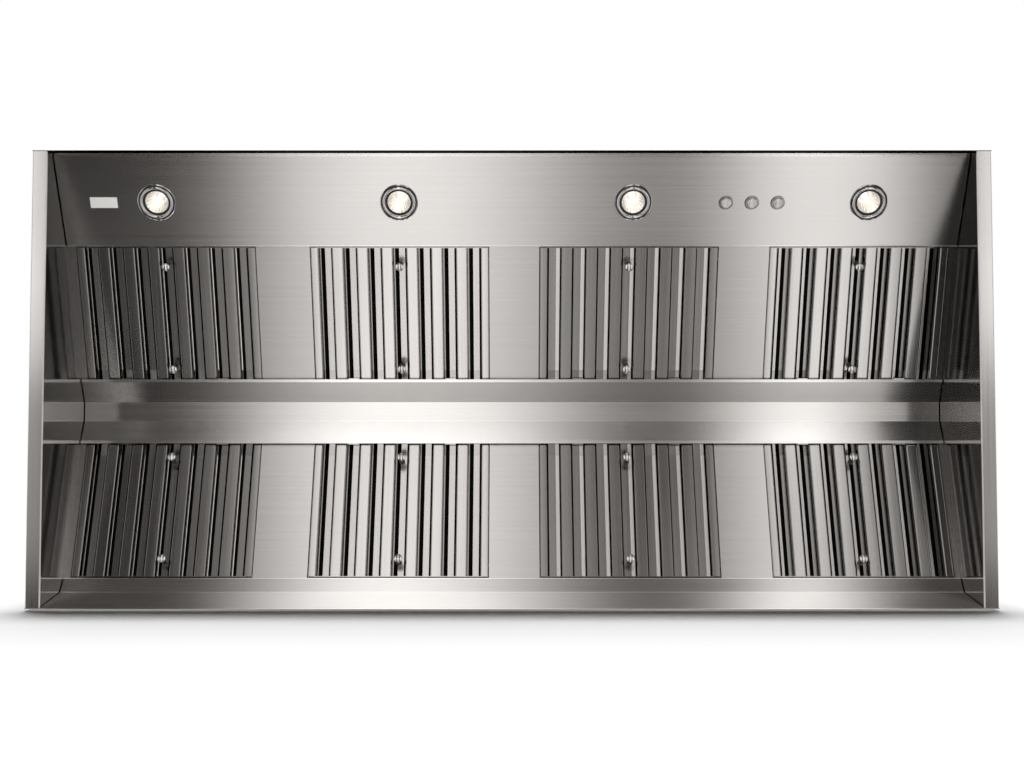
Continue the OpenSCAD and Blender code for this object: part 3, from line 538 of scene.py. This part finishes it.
def folded_x(name, path, r, materials, node, finish, beads=(), bead_finish=0):
    """A sheet folded along x. finish gives the number of the material for a strip of it at y."""
    bm = bmesh.new()
    skin = folded(path, SHEET, r)
    ends = SEAM - INNER / 2, INNER / 2 - SEAM
    for face, (p, q) in zip(prism(bm, skin, along_x, *ends), sides_of(skin)):
        face.material_index = finish((p[0] + q[0]) / 2)
    for y, z in beads:
        for face in prism(bm, circle(BEAD_R, 24, y, z), along_x, *ends):
            face.material_index = bead_finish
    return piece(name, bm, materials, "shell", [node])


def panel_finish(y):
    return int(near(y, SHEET + 1.5, EDGE[0][0] - 0.5))


def channel_finish(y):
    front, rear = LIP_Y[0] + CHANNEL_RUN, LIP_Y[1] - CHANNEL_RUN
    return 3 if near(y, front, rear) else (y > front) + (y > rear)


def trough_finish(y):
    fold = HOOD_D - SHEET - TROUGH_FOLD_DEPTH
    return 2 if near(y, EDGE[1][0] + 0.5, fold) else int(y > fold)


light_panel = folded_x("light_panel_folded", [
    (SHEET, PANEL_Z + PANEL_FLANGE), (SHEET, PANEL_Z), EDGE[0],
    (EDGE[0][0] - EDGE_H[0] * SIN_BANK, EDGE[0][1] + EDGE_H[0] * COS_BANK)],
    BEND, [SHELL, FOLD_PAINTED_HIGHLIGHT], "light_panel", panel_finish)
folded_x("centre_channel_folded", [
    (LIP_Y[0], LIP_Z), (LIP_Y[0] + CHANNEL_RUN, LIP_Z + CHANNEL_RISE),
    (LIP_Y[1] - CHANNEL_RUN, LIP_Z + CHANNEL_RISE), (LIP_Y[1], LIP_Z)],
    CHANNEL_BEND, [FACE_UP_PAINTED_SHADE, CHANNEL, PAINTED_HIGHLIGHT, FOLD_PAINTED_HIGHLIGHT], "centre_channel", channel_finish,
    [(y, LIP_Z) for y in LIP_Y], 3)
folded_x("rear_trough_folded", [
    (EDGE[1][0] + EDGE_H[1] * SIN_BANK, EDGE[1][1] + EDGE_H[1] * COS_BANK), EDGE[1],
    (HOOD_D - SHEET - TROUGH_FOLD_DEPTH, TROUGH_FOLD_Z), (HOOD_D - SHEET - 1.1 * SHEET, 0)],
    BEND, [TROUGH, LOW, FOLD_PAINTED_HIGHLIGHT], "rear_trough", trough_finish)

# Holes of the light panel
LIGHT_HOLE_R, BUTTON_HOLE_R, HOLE_DEPTH = LENS_R + 3, BUTTON_R + 1.1, 6.0
cut = bmesh.new()
for x, r in [(x, LIGHT_HOLE_R) for x in LIGHT_X] + [(x, BUTTON_HOLE_R) for x in BUTTON_X.values()]:
    prism(cut, circle(r, 48), on_panel(x), -HOLE_DEPTH, HOLE_DEPTH)
bmesh.ops.recalc_face_normals(cut, faces=cut.faces)
cut_mesh = bpy.data.meshes.new("holes")
cut.to_mesh(cut_mesh)
cut.free()
cutter = bpy.data.objects.new("holes", cut_mesh)
bpy.context.scene.collection.objects.link(cutter)
bore = light_panel.modifiers.new("holes", "BOOLEAN")
bore.object, bore.operation, bore.solver = cutter, "DIFFERENCE", "EXACT"
light_panel.modifiers.move(1, 0)
bpy.context.view_layer.update()
solid = bpy.data.meshes.new_from_object(light_panel.evaluated_get(bpy.context.evaluated_depsgraph_get()))
light_panel.modifiers.clear()
light_panel.data = solid
light_panel.modifiers.new("normals", "WEIGHTED_NORMAL").keep_sharp = True
bpy.data.objects.remove(cutter)

# Sides, with their flanges at the mouth and along the top plate
for side, sign in (("left", 1), ("right", -1)):
    x0, x1 = -HOOD_W / 2, -INNER / 2

    def side_place(u, v, w):
        return row(sign * u, w, v)
    bm = bmesh.new()
    skin = folded([(x0, HOOD_H), (x0, 0), (x1, 0), (x1, SIDE_WALL_H)], SHEET, SIDE_BEND)
    for face, (p, q) in zip(prism(bm, skin, side_place, SHEET, HOOD_D - SHEET), sides_of(skin)):
        inner_wall = min(p[0], q[0]) > x1 - 2 * SHEET and max(p[1], q[1]) > 3
        face.material_index = int(inner_wall)
    prism(bm, [(x0 + 0.4, PLATE_Z - SHEET), (x0 + TOP_FLANGE, PLATE_Z - SHEET), (x0 + TOP_FLANGE, PLATE_Z),
               (x0 + 0.4, PLATE_Z)], side_place, SHEET, HOOD_D - SHEET)
    piece(side + "_side_folded", bm, [SIDE, SIDE_IN_PAINTED_SHADE], "shell", [side + "_side"])


# Filters ----------------------------------------------------------------------------------------------------
# Strips of painted light, half shade and shadow across each rear baffle of a column, from left to right, with
# the right end of each in mm from the middle. At the end over the lip the painted light and half shade have
# tones and normals of their own.
REAR_STRIPS = (((ANGLED, -10.0), (PAINTED_SHADOW, -4.5), (PAINTED_HALF_SHADE, 6.3), (PAINTED_SHADOW, 20.0)),
               ((PAINTED_HALF_SHADE, -8.8), (PAINTED_SHADOW, -2.0), (PAINTED_LIGHT, 8.0), (PAINTED_SHADOW, 20.0)),
               ((PAINTED_SHADOW, -8.6), (PAINTED_HALF_SHADE, 3.5), (PAINTED_LIGHT, 9.6), (PAINTED_SHADOW, 20.0)),
               ((PAINTED_SHADOW, -6.6), (PAINTED_LIGHT, -2.2), (PAINTED_SHADOW, 4.3), (PAINTED_HALF_SHADE, 13.4), (PAINTED_SHADOW, 20.0)))
ENDS = {PAINTED_LIGHT: PAINTED_LIGHT_END, PAINTED_HALF_SHADE: PAINTED_HALF_SHADE_END, PAINTED_SHADOW: PAINTED_SHADOW, ANGLED: PAINTED_LIGHT_END}


def filter_frame(at, s0, s1):
    """Two side rails, two end rails, and two hooks that sit on the channel's bead."""
    w, t, n0, n1, strip = FILTER_W / 2, FILTER_SHEET, FILTER_N, FILTER_TOP, EDGE_STRIP
    bm = bmesh.new()
    rail = folded([(-w + RAIL_FLANGE, n1), (-w, n1), (-w, n0), (-w + strip, n0), (-w + strip, n0 + LEG)],
                  t, RAIL_BEND)
    end = folded([(s0 + RAIL_FLANGE, n1), (s0, n1), (s0, n0)], t, RAIL_BEND)
    for outline in (rail, [(-u, v) for u, v in rail]):
        prism(bm, outline, lambda u, v, s: at(u, s, v), s0, s1)
    for outline in (end, [(s0 + s1 - u, v) for u, v in end]):
        prism(bm, outline, lambda u, v, x: at(x, u, v), -w + t, w - t)
    r = BEAD_R + RUNNING
    hook = r + HOOK_WALL
    saddle = [(hook, 0), (r, 0)]
    saddle += [(r * math.cos(a), r * math.sin(a)) for a in [math.radians(12 * k) for k in range(1, 9)]]
    saddle += [(-0.5, BEAD_R), (-hook, BEAD_R), (-hook, n0 + t), (hook, n0 + t)]
    tongue = [(s0, n0), (-hook + 0.2, n0), (-hook + 0.2, n0 + t), (s0, n0 + t)]
    for x in (-2 * PITCH, 2 * PITCH):
        for outline in (saddle, tongue):
            prism(bm, outline, lambda u, v, x: at(x, u, v), x - HOOK_W / 2, x + HOOK_W / 2)
    return bm


def filter_baffles(at, s0, s1, strips, way):
    """Front baffles, and rear ones in strips of painted light and shade. way is -1 where the frame's x runs
    against the hood's.
    """
    def along(u, v, s):
        return at(u, s, v)
    t, half = FILTER_SHEET, (GAPS - 1) // 2
    h, top = REAR_WEB / 2, FILTER_N + REAR_DEPTH
    u_rear = [(h, top - LEG), (h, top), (-h, top), (-h, top - LEG)]
    h = FRONT_WEB / 2
    u_front = [(-h, FILTER_N + LEG), (-h, FILTER_N), (h, FILTER_N), (h, FILTER_N + LEG)]
    bm = bmesh.new()
    for k in range(-half, half):
        c = (k + 0.5) * PITCH
        prism(bm, folded([(c + u, v) for u, v in u_front], t, BAFFLE_BEND), along, s0 + t, s1 - t)
    for k in range(-half, half + 1):
        c = k * PITCH
        back = split(folded([(c + u, v) for u, v in u_rear], t, BAFFLE_BEND),
                     [c + way * end for kind, end in strips])
        for a, b, at_lip in ((s0 + t, s0 + LIP_END, True), (s0 + LIP_END, s1 - t, False)):
            for face, (p, q) in zip(prism(bm, back, along, a, b), sides_of(back)):
                kind = next(kind for kind, end in strips if way * ((p[0] + q[0]) / 2 - c) < end)
                face.material_index = 1 + (ENDS[kind] if at_lip else kind)
    return bm


def filter_knobs(at, places):
    """Knobs with slightly domed heads, on stems that are riveted to the rear baffles."""
    top, low = FILTER_N + REAR_DEPTH - FILTER_SHEET, FILTER_N - KNOB_OUT
    neck, rivet_r = low + KNOB_HEAD, KNOB_STEM_R + 2
    dome = (KNOB_R ** 2 + KNOB_DOME ** 2) / (2 * KNOB_DOME)
    slopes = [math.asin(KNOB_R / dome) * k / 8 for k in range(9)]
    head = [(dome * math.sin(a), low + dome * (1 - math.cos(a))) for a in slopes]
    head += [(KNOB_R, neck - 0.8), (KNOB_R - 0.8, neck), (KNOB_STEM_R, neck)]
    stem = [(KNOB_STEM_R, neck), (KNOB_STEM_R, top - 2.4), (rivet_r, top - 2.2), (rivet_r, top), (0, top)]
    bm = bmesh.new()
    for s in places:
        def knob_place(x, y, h):
            return at(x, s + y, h)
        lathe(bm, head, knob_place, 32)
        for face in lathe(bm, stem, knob_place, 32):
            face.material_index = 1
    return bm


for b, bank_name in enumerate(BANK_NAMES):
    s0, s1 = -TAILS[b], FILTER_LEN - TAILS[b]
    knobs = [inset - TAILS[b] + KNOB_SHIFT[b] for inset in (KNOB_INSET, FILTER_LEN - KNOB_INSET)]
    for i, x in enumerate(FILTER_X):
        base = f"{bank_name}_filter_{i + 1}"
        at, steel = bank(b, x), BANK_STEEL[b][i]
        piece(base + "_frame_folded", filter_frame(at, s0, s1), [steel], base,
              [base + "_frame"])
        piece(base + "_baffles_folded", filter_baffles(at, s0, s1, REAR_STRIPS[i], BANK_SIGNS[b]),
              [steel, *STRIPS[b]], base, [base + "_baffles"])
        piece(base + "_knobs_turned", filter_knobs(at, knobs), [KNOB, STEM], base,
              [base + "_knobs"], 50)

# Lights -----------------------------------------------------------------------------------------------------
# Turned profiles in mm: radius, and height into the hood from the panel's face
R, L = BEZEL_R, LENS_R
BEZEL = [(L + 3.4, 4.4), (L + 3.4, 0.2), (R - 0.4, 0.1), (R, -0.4), (R - 0.2, -1.0), (R - 0.8, -1.2),
         (R - 1.3, -0.9), (R - 1.4, -0.1), (R - 3.4, -0.1), (R - 3.6, -1.3), (R - 4.2, -2.5), (R - 5.2, -3.3),
         (R - 6.3, -3.45), (R - 7.4, -3.0), (R - 8.2, -2.0), (R - 8.7, -0.7), (L + 0.3, 0.6), (L + 0.3, 4.4),
         (L + 3.4, 4.4)]
# Painted shadow: a black ring on the bezel stands for the shade in its groove
GROOVE_PAINTED_SHADOW = [(R - 1.42, -0.12), (R - 1.42, -0.35), (R - 3.38, -0.35), (R - 3.38, -0.12), (R - 1.42, -0.12)]
GASKET = [(L + 0.28, 0.65), (L - 2.3, 0.85), (L - 2.7, 1.3), (L - 2.7, GLASS_Q - 0.02),
          (L + 0.28, GLASS_Q - 0.02), (L + 0.28, 0.65)]
PANE = [(0, GLASS_Q), (L * 0.5, GLASS_Q), (L - 0.2, GLASS_Q), (L, GLASS_Q + 0.2), (L, GLASS_Q + GLASS_T),
        (0, GLASS_Q + GLASS_T)]
RIM, BOWL_R = GLASS_Q + GLASS_T + SEAT, L - 1.2  # where the reflector starts, and its radius inside
BOWL = [(BULB_NECK_R, RIM + BULB_DEPTH + BULB_BASE), (BULB_NECK_R + 1.2, RIM + BULB_DEPTH),
        (L * 0.86, RIM + BULB_DEPTH * 0.45), (L, RIM), (BOWL_R, RIM)]
BOWL += [(BOWL_R - (BOWL_R - BULB_NECK_R) * math.pow(k / 7, 1.7), RIM + BULB_DEPTH * 0.96 * k / 7)
         for k in range(1, 8)]
BOWL += [(0, RIM + BULB_DEPTH)]
CAPSULE = [(0, RIM + 9.5), (1.8, RIM + 9.9), (3.2, RIM + 11), (CAPSULE_R, RIM + 13),
           (CAPSULE_R, RIM + BULB_DEPTH - 0.4), (0, RIM + BULB_DEPTH - 0.4)]

for name, material, slot_name, nodes, sharp, steps, profiles in (
        ("lamp_bezels_turned", CHROME, "bright_trim", ["lamp_bezels"], 40, 72, [BEZEL]),
        ("lamp_seals_and_groove_shadows", RUBBER_AND_PAINTED_SHADOW, "cable", [], 40, 72, [GROOVE_PAINTED_SHADOW, GASKET]),
        ("lamp_glasses", GLASS, "lamp_glass", ["lamp_lenses"], 40, 72, [PANE]),
        ("lamp_reflectors", REFLECTOR_PAINTED_GLOW, "lamp_reflector", ["lamp_bulbs"], 0, 26, [BOWL]),
        ("lamp_capsules", GLOW, "lamp_reflector", [], 60, 24, [CAPSULE])):
    bm = bmesh.new()
    for x in LIGHT_X:
        for profile in profiles:
            lathe(bm, profile, on_panel(x), steps)
    piece(name, bm, [material], "shell", nodes, sharp)

# Buttons ----------------------------------------------------------------------------------------------------
# Painted shadow: a thin black ring under each switch body, a little off its centre, and the caps
SHADOW_RING = [(RING_R - 1, 0), (RING_R - 1, -0.3), (RING_R + 0.3, -0.3), (RING_R + 0.4, 0), (RING_R - 1, 0)]
R, FACE = BUTTON_R, -BUTTON_PROUD
CAP = [(0, FACE + 0.35), (R * 0.45, FACE + 0.25), (R - 2.4, FACE + 0.05), (R - 1.5, FACE),
       (R - 0.7, FACE + 0.25), (R - 0.2, FACE + 0.8), (R, FACE + 1.6), (R, BUTTON_SKIRT), (0, BUTTON_SKIRT)]
bm = bmesh.new()
for x in BUTTON_X.values():
    lathe(bm, SHADOW_RING, on_panel(x, *SHADOW_RING_SHIFT))
piece("button_shadow_rings", bm, [RUBBER_AND_PAINTED_SHADOW], "shell", [], 40)
for name, x in BUTTON_X.items():
    bm = bmesh.new()
    lathe(bm, CAP, on_panel(x))
    piece(name + "_cap", bm, [BUTTON], name, [name], 45)

# Carried-over CAD nodes -------------------------------------------------------------------------------------
# Their materials, and the width in mm of a small round on the edges of some
LOOKS = {"front_skin": SHELL, "rear_skin": SHELL, "top_plate": SHELL, "front_blanks": BLANK,
         "rear_blanks": SHELL, "name_plate": PLATE, "lamp_cans": CAN, "switch_bodies": RING,
         "junction_box": GALV, "junction_cover": GALV, "wiring_harness": CABLE, "fasteners": ZINC,
         "filter_catches": ZINC}
for side in ("left", "right"):
    for part, material in (("scroll", GALV), ("motor", MOTOR), ("wheel", GALV), ("collar", GALV),
                           ("flap_outer", GALV), ("flap_inner", GALV)):
        LOOKS[f"{side}_{part}"] = material
ROUND = {"front_skin": 0.35, "rear_skin": 0.35, "top_plate": 0.3, "front_blanks": 0.4, "rear_blanks": 0.4,
         "name_plate": 0.25, "switch_bodies": 0.9, "junction_box": 0.4, "junction_cover": 0.4,
         "fasteners": 0.4}
for name, material in LOOKS.items():
    o = NODES[name]
    o.data.materials.clear()
    o.data.materials.append(material)
    if name in ROUND:
        m = o.modifiers.new("edges", "BEVEL")
        m.width, m.segments, m.harden_normals = ROUND[name] / 1000, 2, True
        m.limit_method, m.angle_limit = "ANGLE", math.radians(40)


def refinish(name, material, facing):
    """Gives the faces of a carried-over node that face one way a material of their own."""
    o = NODES[name]
    o.data.materials.append(material)
    turn = o.matrix_world.to_3x3()
    for face in o.data.polygons:
        if (turn @ face.normal).dot(Vector(facing)) > 0.9:
            face.material_index = len(o.data.materials) - 1


refinish("front_skin", HEM_PAINTED_SHADE, (0, 0, -1))
refinish("front_skin", HEM_PAINTED_SHADE, (0, -1, 0))
refinish("rear_skin", PAINTED_HIGHLIGHT, (0, -1, 0))

# Floor ------------------------------------------------------------------------------------------------------
floor_bm = bmesh.new()
bmesh.ops.create_grid(floor_bm, x_segments=1, y_segments=1, size=30)
floor_mesh = bpy.data.meshes.new("floor")
floor_bm.to_mesh(floor_mesh)
floor_bm.free()
floor = bpy.data.objects.new("floor", floor_mesh)
bpy.context.scene.collection.objects.link(floor)
floor.location.z = -0.003  # a narrow dark gap under the hood, as in the photo

m = bpy.data.materials.new("floor_white")
m.use_nodes = True
nt = m.node_tree
nt.nodes.clear()
paper = mapped_noise(nt, (3.0, 3.0, 3.0), 2.0, 0.5)
diffuse = nt.nodes.new("ShaderNodeBsdfDiffuse")
link(nt, mixed(nt, paper, (0.86, 0.86, 0.86), (0.88, 0.88, 0.88)), diffuse.inputs["Color"])
# Reflections go through the floor to the studio below, or the metal would lose its bands
clear = nt.nodes.new("ShaderNodeBsdfTransparent")
mix = nt.nodes.new("ShaderNodeMixShader")
link(nt, nt.nodes.new("ShaderNodeLightPath").outputs["Is Glossy Ray"], mix.inputs[0])
link(nt, diffuse.outputs[0], mix.inputs[1])
link(nt, clear.outputs[0], mix.inputs[2])
link(nt, mix.outputs[0], nt.nodes.new("ShaderNodeOutputMaterial").inputs["Surface"])
floor.data.materials.append(m)

# World ------------------------------------------------------------------------------------------------------
# The studio that reflections see, made from the ray's direction: across is its slope sideways
LEFT_BOX = ((-0.235, -0.105), (-0.07, 0.10))  # across: where the soft box rises, and where it falls
RIGHT_BOX = ((0.115, 0.205), (0.24, 0.315))
SOFT_LIGHT = 0.035  # on what isn't metal, besides the two lamps

world = bpy.data.worlds.new("studio")
bpy.context.scene.world = world
world.use_nodes = True
nt = world.node_tree
nt.nodes.clear()
sep = nt.nodes.new("ShaderNodeSeparateXYZ")
link(nt, nt.nodes.new("ShaderNodeTexCoord").outputs["Generated"], sep.inputs[0])
X, Y, Z = sep.outputs
upright = math_node(nt, "SQRT", add(nt, times(nt, Y, Y), times(nt, Z, Z)))
across = math_node(nt, "DIVIDE", X, math_node(nt, "MAXIMUM", upright, 0.02))
out_wide = math_node(nt, "ABSOLUTE", across)

# Two upright soft boxes. Towards the ceiling both get narrower, then the right one reaches further out
pinch = ranged(nt, Z, 0.0, 0.035, 0.88, 0.95)
rise, fall = minus(nt, across, pinch), add(nt, across, pinch)
fall_right = add(nt, fall, ranged(nt, Z, 0.0, 0.035, -0.5, 0.0))
left_box = minus(nt, smooth(nt, rise, *LEFT_BOX[0]), smooth(nt, fall, *LEFT_BOX[1]))
right_box = minus(nt, smooth(nt, rise, *RIGHT_BOX[0]), smooth(nt, fall_right, *RIGHT_BOX[1]))
boxes = add(nt, math_node(nt, "MAXIMUM", left_box, 0), math_node(nt, "MAXIMUM", right_box, 0))
level = times(nt, ranged(nt, Z, 0.95, 1.24, -0.75, 0.0), ranged(nt, Z, 1.0, 0.80, 0.0, 0.8))
level = times(nt, level, add(nt, 1.0, band(nt, Z, 0.70, 0.82, 0.89, 0.93, 0.35)))
front = times(nt, boxes, level)
# A weak fill between them, and a broad soft one far out to the sides
fill = times(nt, band(nt, across, -0.27, -0.02, 0.25, 0.33, 1.0), ranged(nt, Z, 0.22, 0.04, -0.75, 0.94))
front = add(nt, front, fill)
front = add(nt, front, times(nt, smooth(nt, out_wide, 0.55, 1.1), 0.75))
# A card on each side, and a little light everywhere
heights = add(nt, band(nt, Z, -0.10, -0.055, 0.3, 0.5, 0.42), band(nt, Z, 0.03, 0.10, 0.3, 0.5, 0.95))
front = add(nt, front, times(nt, band(nt, out_wide, 0.31, 0.335, 0.42, 0.52, 1.0), heights))
front = add(nt, front, ranged(nt, Z, 0.035, 0.06, 0.5, 0.9))
# Behind the hood reflections meet the white backdrop
back = ranged(nt, Z, 0.88, 1.0, -0.2, 0.9)
behind = smooth(nt, Y, 0.0, 0.35)
room = add(nt, times(nt, front, minus(nt, 1.0, behind)), times(nt, back, behind))

# Reflections see the studio, the camera and glass a plain white, and all else a soft light
bg_room, bg_white, bg_soft = (nt.nodes.new("ShaderNodeBackground") for _ in range(3))
link(nt, room, bg_room.inputs["Strength"])
link(nt, mixed(nt, ranged(nt, room, 0.0, 1.0, 0.0, 0.6), (1.0, 0.92, 0.86), (1.0, 0.985, 0.972)),
     bg_room.inputs["Color"])
for background, strength in ((bg_white, 1.0), (bg_soft, SOFT_LIGHT)):
    background.inputs["Color"].default_value = (1, 1, 1, 1)
    background.inputs["Strength"].default_value = strength
ray = nt.nodes.new("ShaderNodeLightPath").outputs
direct = math_node(nt, "MAXIMUM", ray["Is Camera Ray"], ray["Is Transmission Ray"])
mirrored, seen = nt.nodes.new("ShaderNodeMixShader"), nt.nodes.new("ShaderNodeMixShader")
for mix, sockets in ((mirrored, (ray["Is Glossy Ray"], bg_soft.outputs[0], bg_room.outputs[0])),
                     (seen, (direct, mirrored.outputs[0], bg_white.outputs[0]))):
    for i, socket in enumerate(sockets):
        link(nt, socket, mix.inputs[i])
link(nt, seen.outputs[0], nt.nodes.new("ShaderNodeOutputWorld").inputs["Surface"])
world.cycles.sampling_method = "NONE"  # the world is smooth, and what it shows depends on the kind of ray

# Lamps ------------------------------------------------------------------------------------------------------
# Two broad soft ones from above, a little behind the hood, so the shadow falls forward on the floor:
# strength, and angle across and height above the horizon in degrees
for name, energy, angle, height in (("overhead_soft", 2.23, 12, 82), ("overhead_wide", 1.44, 36, 71)):
    key_data = bpy.data.lights.new(name, "SUN")
    key_data.energy, key_data.angle = energy, math.radians(angle)
    key = bpy.data.objects.new(name, key_data)
    key.location = (0, 0.5, 3)
    key.rotation_mode = "QUATERNION"
    aim = Vector((0, -math.cos(math.radians(height)), -math.sin(math.radians(height))))
    key.rotation_quaternion = aim.to_track_quat("-Z", "Y")
    bpy.context.scene.collection.objects.link(key)
